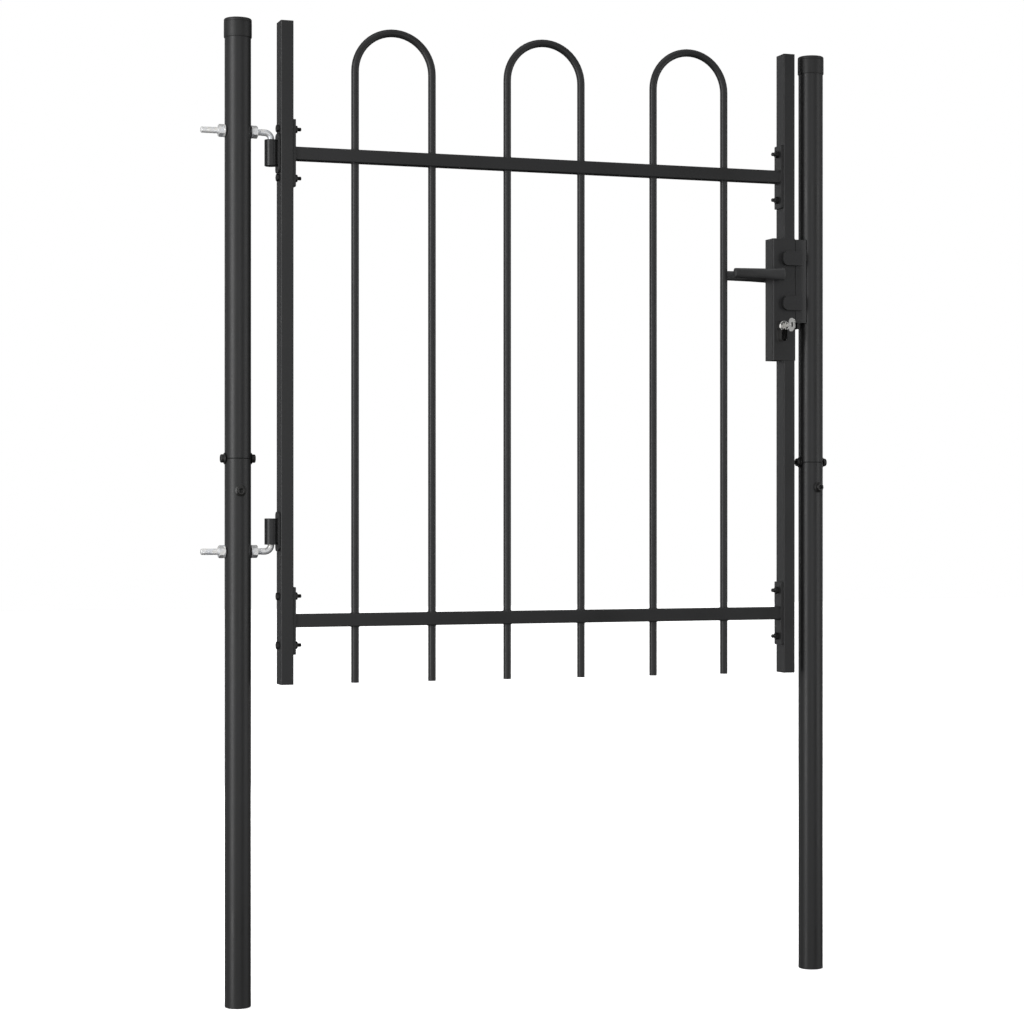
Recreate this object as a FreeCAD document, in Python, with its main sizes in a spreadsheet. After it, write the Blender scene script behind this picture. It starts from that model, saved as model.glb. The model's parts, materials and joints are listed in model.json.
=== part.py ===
import FreeCAD, Part
import math
import os

import Sketcher
from FreeCAD import Placement, Rotation, Vector

# A single garden gate: two round posts for setting in the ground, a leaf of three hoops between two
# tubular rails, two J-bolt hinges, a box lock with lever handles and a profile cylinder, and a strike.
#
# Millimetres. The origin is the centre of the hinge post's foot. +X runs from the hinge post to the
# latch post, -Y is the side with the key, +Z is up.

DIMENSIONS = [
    ("PostSpacing", 960, "hinge post axis to latch post axis"),
    ("PostTop", 1500, "top of the post caps"),
    ("PostRadius", 20, "outside radius of a post tube"),
    ("PostWall", 1.5, "wall of a post tube"),
    ("SeamHeight", 832, "where the two tubes of a post meet"),
    ("SleeveLength", 130, "length of the sleeve inside a post's joint"),
    ("SleeveRadius", 18.4, "outside radius of the sleeve"),
    ("SleeveWall", 2, "wall of the sleeve"),
    ("LowBoltDrop", 49, "the hinge post's lower joint bolt, below the seam"),
    ("LatchLowBoltDrop", 41, "the latch post's lower joint bolt, below the seam"),
    ("CapSkirt", 30, "height of a post cap"),
    ("CapRadius", 21.25, "outside radius of a post cap"),
    ("CapTop", 3, "thickness of a post cap's top"),
    ("HingeGap", 43.5, "hinge post surface to the leaf"),
    ("LatchGap", 15.5, "leaf to the latch post surface"),
    ("LeafLow", 487.5, "underside of the leaf"),
    ("LeafTall", 1012, "height of the leaf's stiles with their plugs"),
    ("StileWide", 20, "stile across the leaf"),
    ("StileDeep", 30, "stile through the leaf"),
    ("TubeWall", 1.5, "wall of the stiles and rails"),
    ("PlugCap", 1.5, "visible thickness of a stile's end plug"),
    ("RailSize", 20, "side of a square rail"),
    ("TopRail", 1298.7, "centre of the top rail"),
    ("BottomRail", 584.6, "centre of the bottom rail"),
    ("PlateTall", 103, "height of a rail's end plate"),
    ("PlateDeep", 26, "depth of a rail's end plate"),
    ("PlateThick", 4, "thickness of a rail's end plate"),
    ("RailBoltPitch", 75, "between the two bolts of an end plate"),
    ("BarRadius", 6, "radius of a hoop's bar"),
    ("BarPitch", 124, "between neighbouring bars"),
    ("HingeAxis", 51.5, "hinge post axis to the hinge axis"),
    ("HingeRod", 5, "radius of a J-bolt"),
    ("HingeBend", 10, "bend radius of a J-bolt, on its centre line"),
    ("UpperRod", 1328.7, "height of the upper J-bolt"),
    ("LowerRod", 690.7, "height of the lower J-bolt"),
    ("RodTail", 57, "J-bolt tail beyond the hinge post axis"),
    ("BarrelRadius", 10, "outside radius of a hinge barrel"),
    ("BarrelTall", 40, "height of a hinge barrel"),
    ("HingePlate", 3, "thickness of a hinge plate"),
    ("CaseWide", 40, "lock case across the leaf, with its faceplate"),
    ("CaseDeep", 32, "lock case through the leaf"),
    ("CaseLow", 998, "underside of the lock case"),
    ("CaseTall", 199, "height of the lock case"),
    ("CaseWall", 1.5, "sheet of the lock case"),
    ("FaceThick", 2, "thickness of the lock's faceplate"),
    ("SpindleX", 895.5, "spindle axis from the hinge post axis"),
    ("SpindleZ", 1137.5, "height of the spindle axis"),
    ("LeverReach", 83.8, "lever tip from the spindle axis"),
    ("LeverOut", 26, "lever's centre line from the leaf's middle plane"),
    ("LatchZ", 1118, "centre height of the latch bolt"),
    ("LatchThrow", 10.7, "latch bolt beyond the faceplate"),
    ("DeadBoltZ", 1085, "centre height of the dead bolt"),
    ("KeyX", 900, "cylinder axis from the hinge post axis"),
    ("KeyZ", 1053.5, "height of the cylinder axis"),
    ("CylinderHalf", 27, "half the length of the profile cylinder"),
    ("StrikeLow", 1050, "underside of the strike"),
    ("StrikeTall", 146, "height of the strike"),
    ("UpperLug", 1164.7, "centre height of the upper stop lug"),
    ("LowerLug", 1091.6, "centre height of the lower stop lug"),
]

doc = FreeCAD.newDocument("GardenGate")
sheet = doc.addObject("Spreadsheet::Sheet", "Dims")
for row, (alias, number, meaning) in enumerate(DIMENSIONS, start=1):
    sheet.set(f"A{row}", str(number))
    sheet.setAlias(f"A{row}", alias)
    sheet.set(f"B{row}", meaning)
doc.recompute()


# ---------------------------------------------------------------------- sizes tied to the sheet


class Size:
    """A length, with the sheet expression that gives it."""

    def __init__(self, value, text):
        self.value = value
        self.text = text

    def __add__(self, other):
        other = size(other)
        return Size(self.value + other.value, f"({self.text} + {other.text})")

    def __sub__(self, other):
        other = size(other)
        return Size(self.value - other.value, f"({self.text} - {other.text})")

    def __rsub__(self, other):
        return size(other) - self

    def __mul__(self, number):
        return Size(self.value * number, f"({self.text} * {number})")

    def __neg__(self):
        return self * -1

    __radd__ = __add__
    __rmul__ = __mul__


def size(thing):
    return thing if isinstance(thing, Size) else Size(float(thing), f"({thing})")


def dim(alias):
    return Size(float(sheet.get(alias)), f"Dims.{alias}")


def bind(thing, **sizes):
    """Ties each named property of an object to its size."""
    for name, value in sizes.items():
        value = size(value)
        setattr(thing, name, value.value)
        thing.setExpression(name, value.text)


def place(thing, x=0, y=0, z=0, axis=(0, 0, 1), angle=0):
    where = [size(value) for value in (x, y, z)]
    base = Vector(*[value.value for value in where])
    thing.Placement = Placement(base, Rotation(Vector(*axis), angle))
    for letter, value in zip("xyz", where):
        thing.setExpression(f"Placement.Base.{letter}", value.text)
    return thing


# ---------------------------------------------------------------------- primitives and booleans

OUT_X = ((0, 1, 0), 90)
OUT_MINUS_X = ((0, 1, 0), -90)
OUT_Y = ((1, 0, 0), -90)
OUT_MINUS_Y = ((1, 0, 0), 90)
OUT_Z = ((0, 0, 1), 0)

subparts = []


def keep(thing, label):
    """Makes an object one of the gate's sub-parts."""
    thing.Label = label
    subparts.append(thing)
    return thing


def cylinder(radius, length, x, y, z, direction="z"):
    """A cylinder that starts at x, y, z and runs along +X, +Y or +Z."""
    aims = {"x": OUT_X, "y": OUT_Y, "z": OUT_Z}
    solid = doc.addObject("Part::Cylinder", "Round")
    bind(solid, Radius=radius, Height=length)
    return place(solid, x, y, z, *aims[direction])


def box(x0, x1, y0, y1, z0, z1):
    solid = doc.addObject("Part::Box", "Block")
    bind(solid, Length=size(x1) - x0, Width=size(y1) - y0, Height=size(z1) - z0)
    return place(solid, x0, y0, z0)


def cone(radius0, radius1, length, x, y, z):
    """A cone that runs along +X from radius0 to radius1."""
    solid = doc.addObject("Part::Cone", "Taper")
    bind(solid, Radius1=radius0, Radius2=radius1, Height=length)
    return place(solid, x, y, z, *OUT_X)


def fuse(*solids):
    joined = doc.addObject("Part::MultiFuse", "Joined")
    joined.Shapes = list(solids)
    joined.Refine = True
    return joined


def cut(base, *tools):
    result = doc.addObject("Part::Cut", "Trimmed")
    result.Base = base
    result.Tool = tools[0] if len(tools) == 1 else fuse(*tools)
    result.Refine = True
    return result


def group(label, master, places):
    """Identical solids in one sub-part. Each place is (x, y, z, axis, angle)."""
    links = []
    for where in places:
        link = doc.addObject("App::Link", "Copy")
        link.LinkedObject = master
        place(link, *where)
        links.append(link)
    compound = doc.addObject("Part::Compound", "Group")
    compound.Links = links
    return keep(compound, label)


# ---------------------------------------------------------------------- bodies and sketches


def new_body(name):
    return doc.addObject("PartDesign::Body", name)


def new_sketch(body, plane, offset=0):
    sketch = body.newObject("Sketcher::SketchObject", "Sketch")
    support = [f for f in body.Origin.OriginFeatures if f.Role == plane][0]
    sketch.AttachmentSupport = (support, [""])
    sketch.MapMode = "FlatFace"
    offset = size(offset)
    sketch.AttachmentOffset = Placement(Vector(0, 0, offset.value), Rotation())
    sketch.setExpression("AttachmentOffset.Base.z", offset.text)
    return sketch


def tie(sketch, kind, elements, value):
    index = sketch.addConstraint(Sketcher.Constraint(kind, *elements, value.value))
    sketch.setExpression(f"Constraints[{index}]", value.text)


def pin_point(sketch, geometry, end, u, v):
    """Holds one end or centre of a piece of geometry at u, v from the sketch's origin."""
    tie(sketch, "DistanceX", (-1, 1, geometry, end), u)
    tie(sketch, "DistanceY", (-1, 1, geometry, end), v)


def add_outline(sketch, points):
    """A closed run of straight lines through the points, each point tied to its sizes."""
    points = [(size(u), size(v)) for u, v in points]
    spots = [Vector(u.value, v.value, 0) for u, v in points]
    lines = []
    for start, end in zip(spots, spots[1:] + spots[:1]):
        lines.append(sketch.addGeometry(Part.LineSegment(start, end), False))
    for line, after in zip(lines, lines[1:] + lines[:1]):
        sketch.addConstraint(Sketcher.Constraint("Coincident", line, 2, after, 1))
    for line, (u, v) in zip(lines, points):
        pin_point(sketch, line, 1, u, v)


def add_circle(sketch, u, v, radius):
    u, v, radius = size(u), size(v), size(radius)
    ring = Part.Circle(Vector(u.value, v.value, 0), Vector(0, 0, 1), radius.value)
    index = sketch.addGeometry(ring, False)
    tie(sketch, "Radius", (index,), radius)
    pin_point(sketch, index, 3, u, v)


def rectangle(u0, u1, v0, v1):
    return [(u0, v0), (u1, v0), (u1, v1), (u0, v1)]


def pad(body, sketch, length, both_ways=False, reverse=False):
    feature = body.newObject("PartDesign::Pad", "Pad")
    feature.Profile = sketch
    bind(feature, Length=length)
    feature.SideType = "Symmetric" if both_ways else "One side"
    feature.Reversed = reverse
    sketch.Visibility = False
    return feature


def through(body, sketch):
    """Cuts the sketch right through the body, both ways."""
    feature = body.newObject("PartDesign::Pocket", "Pocket")
    feature.Profile = sketch
    feature.SideType = "Symmetric"
    feature.Type = "ThroughAll"
    return feature


def turn(body, sketch, angle, start, end, reverse=False):
    """Sweeps the sketch round an axis drawn in it from start to end."""
    points = [(size(u), size(v)) for u, v in (start, end)]
    spots = [Vector(u.value, v.value, 0) for u, v in points]
    axis = sketch.addGeometry(Part.LineSegment(*spots), True)
    pin_point(sketch, axis, 1, *points[0])
    pin_point(sketch, axis, 2, *points[1])
    doc.recompute()
    feature = body.newObject("PartDesign::Revolution", "Bend")
    feature.Profile = sketch
    feature.ReferenceAxis = (sketch, ["Axis0"])
    feature.Angle = angle
    feature.Reversed = reverse
    return feature


def revolve(body, sketch):
    """Turns a half outline, drawn on the XZ plane, once round Z."""
    feature = body.newObject("PartDesign::Revolution", "Turned")
    feature.Profile = sketch
    feature.ReferenceAxis = (sketch, ["V_Axis"])
    feature.Angle = 360
    return feature


def edges_where(shape, test):
    return [f"Edge{i}" for i, edge in enumerate(shape.Edges, start=1) if test(edge)]


def soften(body, radius, test, kind="Fillet"):
    """Rounds or bevels the edges of the body's last feature that pass the test."""
    doc.recompute()
    base = body.Tip
    names = edges_where(base.Shape, test)
    feature = body.newObject(f"PartDesign::{kind}", kind)
    feature.Base = (base, names)
    bind(feature, **{"Radius" if kind == "Fillet" else "Size": radius})
    return feature


def along(direction):
    """A test for straight edges that run one way."""
    wanted = Vector(*direction)

    def test(edge):
        if edge.Curve.TypeId != "Part::GeomLine":
            return False
        return abs(abs(edge.tangentAt(edge.FirstParameter).dot(wanted)) - 1) < 1e-6

    return test


# ---------------------------------------------------------------------- places shared by the sub-parts

post_x = dim("PostSpacing")
post_r = dim("PostRadius")
post_inner = post_r - dim("PostWall")
seam = dim("SeamHeight")
tube_top = dim("PostTop") - dim("CapTop")
low_bolt = seam - dim("LowBoltDrop")
latch_low_bolt = seam - dim("LatchLowBoltDrop")
leaf_x0 = post_r + dim("HingeGap")
leaf_x1 = post_x - post_r - dim("LatchGap")
leaf_z0 = dim("LeafLow")
leaf_z1 = dim("LeafLow") + dim("LeafTall")
stile_z0 = leaf_z0 + dim("PlugCap")
stile_z1 = leaf_z1 - dim("PlugCap")
inner_x0 = leaf_x0 + dim("StileWide")
inner_x1 = leaf_x1 - dim("StileWide")
rail_x0 = inner_x0 + dim("PlateThick")
rail_x1 = inner_x1 - dim("PlateThick")
rail_heights = [dim("TopRail"), dim("BottomRail")]
half_pitch = dim("RailBoltPitch") * 0.5
rail_bolt_heights = [rail + half_pitch * side for rail in rail_heights for side in (1, -1)]
leaf_middle = (leaf_x0 + leaf_x1) * 0.5
bar_xs = [leaf_middle + dim("BarPitch") * (i - 2.5) for i in range(6)]
hinge_x = dim("HingeAxis")
case_x0 = leaf_x1 - dim("CaseWide")
case_x1 = leaf_x1 - dim("FaceThick")
case_y = dim("CaseDeep") * 0.5
case_z0 = dim("CaseLow")
case_z1 = dim("CaseLow") + dim("CaseTall")
spindle_x = dim("SpindleX")
spindle_z = dim("SpindleZ")
key_x = dim("KeyX")
key_z = dim("KeyZ")
strike_z0 = dim("StrikeLow")
strike_z1 = dim("StrikeLow") + dim("StrikeTall")
face_screw_heights = [case_z0 + 8, case_z1 - 8]
strike_screw_heights = [strike_z0 + 12, strike_z1 - 10]

M8_HOLE = 4.5
M8_RADIUS = 4.0
M6_HOLE = 3.3
M6_RADIUS = 3.0
M6_BOLT_LENGTH = 35
THREAD_GAP = 0.05
NUT_M10_THICK = 8
WASHER_M10_THICK = 2
LATCH_BOLT_TURN = 12


# ---------------------------------------------------------------------- fastener patterns


def hexagon(across_flats):
    corner = across_flats / math.sqrt(3)
    turns = [math.radians(60 * i) for i in range(6)]
    return [(round(corner * math.cos(t), 4), round(corner * math.sin(t), 4)) for t in turns]


def hex_nut(name, across_flats, thickness, bore):
    body = new_body(name)
    sketch = new_sketch(body, "XY_Plane")
    add_outline(sketch, hexagon(across_flats))
    add_circle(sketch, 0, 0, bore)
    pad(body, sketch, thickness)
    return body


def washer(name, radius, bore, thickness):
    body = new_body(name)
    sketch = new_sketch(body, "XY_Plane")
    add_circle(sketch, 0, 0, radius)
    add_circle(sketch, 0, 0, bore)
    pad(body, sketch, thickness)
    return body


def turned_bolt(name, outline, socket=0, socket_depth=0):
    """A bolt along Z with the underside of its head at Z = 0 and its shank below."""
    body = new_body(name)
    sketch = new_sketch(body, "XZ_Plane")
    add_outline(sketch, outline)
    revolve(body, sketch)
    if socket:
        top = max(v for u, v in outline)
        recess = new_sketch(body, "XY_Plane", top)
        add_outline(recess, hexagon(socket))
        doc.recompute()
        pocket = body.newObject("PartDesign::Pocket", "Socket")
        pocket.Profile = recess
        bind(pocket, Length=socket_depth)
    return body


def joint_bolt():
    """M8 flanged bolt with a hexagon socket."""
    outline = [(0, -15), (3.4, -15), (4, -14), (4, 0), (8.75, 0), (8.75, 1.2), (6.4, 2.2)]
    outline += [(6.4, 6), (5.6, 6.8), (0, 6.8)]
    return turned_bolt("JointBolt", outline, 6, 3.4)


def rail_bolt():
    """M6 bolt with a hexagon head."""
    body = new_body("RailBolt")
    head = new_sketch(body, "XY_Plane")
    add_outline(head, hexagon(10))
    pad(body, head, 4)
    shank = new_sketch(body, "XY_Plane", -M6_BOLT_LENGTH)
    add_circle(shank, 0, 0, M6_RADIUS)
    pad(body, shank, M6_BOLT_LENGTH)
    return body


def countersunk(name, radius, head_radius, head_depth, length):
    """A countersunk screw whose head's flat top is at Z = 0."""
    outline = [(0, -length), (radius, -length), (radius, -head_depth), (head_radius, 0), (0, 0)]
    return turned_bolt(name, outline)


# ---------------------------------------------------------------------- posts


def tube(outer, inner, z0, z1, x):
    return cut(cylinder(outer, z1 - z0, x, 0, z0), cylinder(inner, z1 - z0, x, 0, z0))


def joint_holes(x, turn, low_z):
    """Holes for a post's three joint bolts: two across the seam, one below it, turned about Z."""
    across = cylinder(M8_HOLE, post_r * 2 + 2, x - post_r - 1, 0, seam, "x")
    lower = doc.addObject("Part::Cylinder", "Round")
    bind(lower, Radius=M8_HOLE, Height=post_r + 1)
    aim = Rotation(Vector(0, 0, 1), turn).multiply(Rotation(Vector(1, 0, 0), 90))
    place(lower, x, 0, low_z, tuple(aim.Axis), math.degrees(aim.Angle))
    return across, lower


def post(name, x, turn, low_z, extra_holes):
    """The lower and upper tube of a post, its sleeve, cap, joint bolts and weld nuts."""
    across, lower = joint_holes(x, turn, low_z)
    low = cut(tube(post_r, post_inner, size(0), seam, x), across, lower, *extra_holes["lower"])
    keep(low, f"{name}_lower")
    high = cut(tube(post_r, post_inner, seam, tube_top, x), across, *extra_holes["upper"])
    keep(high, f"{name}_upper")

    sleeve_z0 = seam - dim("SleeveLength") * 0.5
    sleeve_z1 = seam + dim("SleeveLength") * 0.5
    sleeve_inner = dim("SleeveRadius") - dim("SleeveWall")
    sleeve = tube(dim("SleeveRadius"), sleeve_inner, sleeve_z0, sleeve_z1, x)
    keep(cut(sleeve, across, lower), f"{name}_sleeve")

    cap = new_body("PostCap")
    outline = new_sketch(cap, "XZ_Plane")
    skirt = dim("CapSkirt")
    fit = post_r + 0.1
    add_outline(
        outline,
        [
            (0, skirt - dim("CapTop")),
            (fit, skirt - dim("CapTop")),
            (fit, 0),
            (dim("CapRadius"), 0),
            (dim("CapRadius"), skirt - 2.2),
            (dim("CapRadius") - 1.6, skirt - 0.6),
            (0, skirt),
        ],
    )
    revolve(cap, outline)
    place(cap, x, 0, dim("PostTop") - skirt)
    keep(cap, f"{name}_cap")

    bolt_aim = Rotation(Vector(0, 0, 1), turn).multiply(Rotation(Vector(1, 0, 0), 90))
    bolt_axis = tuple(bolt_aim.Axis)
    bolt_angle = math.degrees(bolt_aim.Angle)
    out = bolt_aim.multVec(Vector(0, 0, 1))
    bolts = [
        (x + post_r, 0, seam, *OUT_X),
        (x - post_r, 0, seam, *OUT_MINUS_X),
        (x + post_r * out.x, post_r * out.y, low_z, bolt_axis, bolt_angle),
    ]
    group(f"{name}_joint_bolts", joint_bolt(), bolts)
    nut_seat = 8
    nuts = [
        (x + nut_seat, 0, seam, *OUT_X),
        (x - nut_seat, 0, seam, *OUT_MINUS_X),
        (x + nut_seat * out.x, nut_seat * out.y, low_z, bolt_axis, bolt_angle),
    ]
    weld_nut = hex_nut("WeldNut", 13, 6.4, M8_RADIUS + THREAD_GAP)
    group(f"{name}_weld_nuts", weld_nut, nuts)


def posts():
    rod_hole = dim("HingeRod") + 0.3
    upper_rod = cylinder(rod_hole, post_r * 2 + 2, -post_r - 1, 0, dim("UpperRod"), "x")
    lower_rod = cylinder(rod_hole, post_r * 2 + 2, -post_r - 1, 0, dim("LowerRod"), "x")
    post("hinge_post", size(0), 0, low_bolt, {"lower": [lower_rod], "upper": [upper_rod]})
    screw_x0 = post_x - post_r - 1
    screw_holes = [cylinder(2.5, post_r, screw_x0, 0, z, "x") for z in strike_screw_heights]
    post("latch_post", post_x, LATCH_BOLT_TURN, latch_low_bolt, {"lower": [], "upper": screw_holes})


# ---------------------------------------------------------------------- hinges


def j_bolt(label, rod_z, pin_way):
    """A threaded rod through the hinge post, bent once into the hinge pin. pin_way is 1 up, -1 down."""
    body = new_body("JBolt")
    bend = dim("HingeBend")
    corner_x = hinge_x - bend
    pin_z0 = rod_z + bend * pin_way
    pin_length = dim("BarrelTall") - 2
    rod = new_sketch(body, "YZ_Plane", -dim("RodTail"))
    add_circle(rod, 0, rod_z, dim("HingeRod"))
    pad(body, rod, corner_x + dim("RodTail"))
    elbow = new_sketch(body, "YZ_Plane", corner_x)
    add_circle(elbow, 0, rod_z, dim("HingeRod"))
    turn(body, elbow, 90, (0, pin_z0), (1, pin_z0), reverse=pin_way > 0)
    pin = new_sketch(body, "XY_Plane", pin_z0)
    add_circle(pin, hinge_x, 0, dim("HingeRod"))
    pad(body, pin, pin_length, reverse=pin_way < 0)
    tail_x = -dim("RodTail").value
    pin_z1 = pin_z0.value + pin_length.value * pin_way

    def at_an_end(edge):
        middle = edge.BoundBox.Center
        return abs(middle.x - tail_x) < 0.01 or abs(middle.z - pin_z1) < 0.01

    soften(body, 0.8, at_an_end, "Chamfer")
    keep(body, label)


def hinge(prefix, rod_z, pin_way, clearance):
    j_bolt(f"{prefix}_hinge_bolt", rod_z, pin_way)
    near = rod_z + (dim("HingeBend") + clearance) * pin_way
    z0 = near if pin_way > 0 else near - dim("BarrelTall")
    radius = dim("BarrelRadius")
    plate_x0 = leaf_x0 - dim("HingePlate")
    barrel = cylinder(radius, dim("BarrelTall"), hinge_x, 0, z0)
    bore = cylinder(dim("HingeRod") + 0.06, dim("BarrelTall") + 2, hinge_x, 0, z0 - 1)
    flat = box(plate_x0, plate_x0 + radius, -radius, radius, z0 - 1, z0 + dim("BarrelTall") + 1)
    keep(cut(barrel, bore, flat), f"{prefix}_hinge_barrel")

    plate = new_body("HingePlateBody")
    sketch = new_sketch(plate, "YZ_Plane", plate_x0)
    middle = z0 + dim("BarrelTall") * 0.5
    add_outline(sketch, rectangle(-11, 11, middle - 30, middle + 30))
    pad(plate, sketch, dim("HingePlate"))
    soften(plate, 6, along((1, 0, 0)))
    keep(plate, f"{prefix}_hinge_plate")


def hinges():
    hinge("upper", dim("UpperRod"), -1, 0.5)
    hinge("lower", dim("LowerRod"), 1, 0.3)
    ends = [(1, OUT_X), (-1, OUT_MINUS_X)]
    rods = [dim("UpperRod"), dim("LowerRod")]
    rod_washer = washer("RodWasher", 10, dim("HingeRod") + 0.25, WASHER_M10_THICK)
    washers = [(post_r * side, 0, rod, *aim) for rod in rods for side, aim in ends]
    group("hinge_bolt_washers", rod_washer, washers)
    rod_nut = hex_nut("RodNut", 17, NUT_M10_THICK, dim("HingeRod") + THREAD_GAP)
    seat = post_r + WASHER_M10_THICK
    nuts = [(seat * side, 0, rod, *aim) for rod in rods for side, aim in ends]
    group("hinge_bolt_nuts", rod_nut, nuts)


# ---------------------------------------------------------------------- leaf frame


def stile(label, x0, z0, z1, bolt_heights):
    body = new_body("Stile")
    sketch = new_sketch(body, "XY_Plane", z0)
    wall = dim("TubeWall")
    deep = dim("StileDeep") * 0.5
    x1 = x0 + dim("StileWide")
    add_outline(sketch, rectangle(x0, x1, -deep, deep))
    pad(body, sketch, z1 - z0)
    soften(body, 2, along((0, 0, 1)))
    doc.recompute()
    hollow = new_sketch(body, "XY_Plane", z0)
    add_outline(hollow, rectangle(x0 + wall, x1 - wall, wall - deep, deep - wall))
    through(body, hollow)
    doc.recompute()
    holes = new_sketch(body, "YZ_Plane")
    for height in bolt_heights:
        add_circle(holes, 0, height, M6_HOLE)
    through(body, holes)
    keep(body, label)


def stiles():
    stile("hinge_stile", leaf_x0, stile_z0, stile_z1, rail_bolt_heights)
    stile("latch_stile_upper", inner_x1, case_z1, stile_z1, rail_bolt_heights[:2])
    stile("latch_stile_lower", inner_x1, stile_z0, case_z0, rail_bolt_heights[2:])

    plug = new_body("Plug")
    cap = new_sketch(plug, "XY_Plane")
    wide = dim("StileWide") * 0.5
    deep = dim("StileDeep") * 0.5
    add_outline(cap, rectangle(-wide, wide, -deep, deep))
    pad(plug, cap, dim("PlugCap"))
    soften(plug, 2, along((0, 0, 1)))
    inset = dim("TubeWall") + 0.1
    insert = new_sketch(plug, "XY_Plane", -10)
    add_outline(insert, rectangle(inset - wide, wide - inset, inset - deep, deep - inset))
    pad(plug, insert, 10)
    xs = [leaf_x0 + wide, leaf_x1 - wide]
    tops = [(x, 0, stile_z1, *OUT_Z) for x in xs]
    feet = [(x, 0, stile_z0, (1, 0, 0), 180) for x in xs]
    group("stile_end_plugs", plug, tops + feet)


def rail(label, height):
    body = new_body("Rail")
    half = dim("RailSize") * 0.5
    wall = dim("TubeWall")
    sketch = new_sketch(body, "YZ_Plane", rail_x0)
    add_outline(sketch, rectangle(-half, half, height - half, height + half))
    pad(body, sketch, rail_x1 - rail_x0)
    soften(body, 1.5, along((1, 0, 0)))
    doc.recompute()
    hollow = new_sketch(body, "YZ_Plane", rail_x0)
    inner = half - wall
    add_outline(hollow, rectangle(-inner, inner, height - inner, height + inner))
    through(body, hollow)
    doc.recompute()
    holes = new_sketch(body, "XY_Plane", height)
    for x in bar_xs:
        add_circle(holes, x, 0, dim("BarRadius") + THREAD_GAP)
    through(body, holes)
    keep(body, label)


def rails():
    rail("top_rail", rail_heights[0])
    rail("bottom_rail", rail_heights[1])

    plate = new_body("EndPlate")
    sketch = new_sketch(plate, "YZ_Plane")
    deep = dim("PlateDeep") * 0.5
    tall = dim("PlateTall") * 0.5
    add_outline(sketch, rectangle(-deep, deep, -tall, tall))
    for side in (1, -1):
        add_circle(sketch, 0, half_pitch * side, M6_HOLE)
    pad(plate, sketch, dim("PlateThick"))
    soften(plate, 2, along((1, 0, 0)))
    group("hinge_side_end_plates", plate, [(inner_x0, 0, z, *OUT_Z) for z in rail_heights])
    group("latch_side_end_plates", plate, [(rail_x1, 0, z, *OUT_Z) for z in rail_heights])

    bolts = [(leaf_x0, 0, z, *OUT_MINUS_X) for z in rail_bolt_heights]
    bolts += [(leaf_x1, 0, z, *OUT_X) for z in rail_bolt_heights]
    group("rail_bolts", rail_bolt(), bolts)
    nut = hex_nut("RailNut", 10, 5, M6_RADIUS + THREAD_GAP)
    nuts = [(rail_x0, 0, z, *OUT_X) for z in rail_bolt_heights]
    nuts += [(rail_x1, 0, z, *OUT_MINUS_X) for z in rail_bolt_heights]
    group("rail_nuts", nut, nuts)


def hoop(label, x0, x1):
    """One bar bent into an upside-down U, with its feet level with the leaf's underside."""
    body = new_body("Hoop")
    spring_line = leaf_z1 - 0.5 - dim("BarRadius") - dim("BarPitch") * 0.5
    legs = new_sketch(body, "XY_Plane", leaf_z0)
    for x in (x0, x1):
        add_circle(legs, x, 0, dim("BarRadius"))
    body.AllowCompound = True
    pad(body, legs, spring_line - leaf_z0)
    crown = new_sketch(body, "XY_Plane", spring_line)
    add_circle(crown, x0, 0, dim("BarRadius"))
    middle = (x0 + x1) * 0.5
    turn(body, crown, 180, (middle, 0), (middle, 1))
    keep(body, label)


def hoops():
    for number in range(3):
        hoop(f"hoop_{number + 1}", bar_xs[2 * number], bar_xs[2 * number + 1])


# ---------------------------------------------------------------------- lock

NOSE_HALF = 6
NOSE_TALL = 14
LATCH_TRAVEL = 9.3
HUB_RADIUS = 9
JOURNAL_RADIUS = 6.4
NECK_RADIUS = 7
BUSH_RADIUS = 8.9
SQUARE = 7.9
SET_SCREW_OUT = 3.2
FACE_GAP = 0.5  # between the faceplate and the strike's front flange
PROFILE_RADIUS = 8.5
LOBE_HALF = 5
LOBE_DROP = 24.5
CAM_REACH = 13.2
CAM_HALF = 5
PLUG_RADIUS = 6.44
DEAD_HALF = 5
DEAD_TALL = 18
FIXING_DROP = 19.3


def euro_profile(grow, y0, y1):
    """The outline of a profile cylinder, as a solid along Y, larger all round by grow."""
    x, z = key_x, key_z
    lobe_z = z - LOBE_DROP + LOBE_HALF
    half = LOBE_HALF + grow
    return fuse(
        cylinder(PROFILE_RADIUS + grow, y1 - y0, x, y0, z, "y"),
        box(x - half, x + half, y0, y1, lobe_z, z),
        cylinder(half, y1 - y0, x, y0, lobe_z, "y"),
    )


def lock_case():
    wall = dim("CaseWall")
    shell = new_body("LockShell")
    sketch = new_sketch(shell, "XY_Plane", case_z0)
    add_outline(sketch, rectangle(case_x0, case_x1, -case_y, case_y))
    pad(shell, sketch, case_z1 - case_z0)
    upright = along((0, 0, 1))
    back_x = case_x0.value
    soften(shell, 3.5, lambda edge: upright(edge) and edge.CenterOfMass.x < back_x + 1)
    clear_y = case_y - wall
    inside = box(case_x0 + wall, case_x1 + 1, -clear_y, clear_y, case_z0 + wall, case_z1 - wall)
    deep = case_y * 2 + 2
    bush_hole = cylinder(BUSH_RADIUS + THREAD_GAP, deep, spindle_x, -case_y - 1, spindle_z, "y")
    hollow = cut(shell, inside, bush_hole, euro_profile(0.3, -case_y - 1, case_y + 1))
    block_x0 = case_x1 - 12
    upper = box(block_x0, case_x1, -NOSE_HALF, NOSE_HALF, case_z1 - wall - 14, case_z1 - wall)
    lower = box(block_x0, case_x1, -NOSE_HALF, NOSE_HALF, case_z0 + wall, case_z0 + wall + 14)
    taps = [cylinder(2.05, 13, block_x0 - 0.5, 0, z, "x") for z in face_screw_heights]
    keep(cut(fuse(hollow, upper, lower), *taps), "lock_case")


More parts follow.
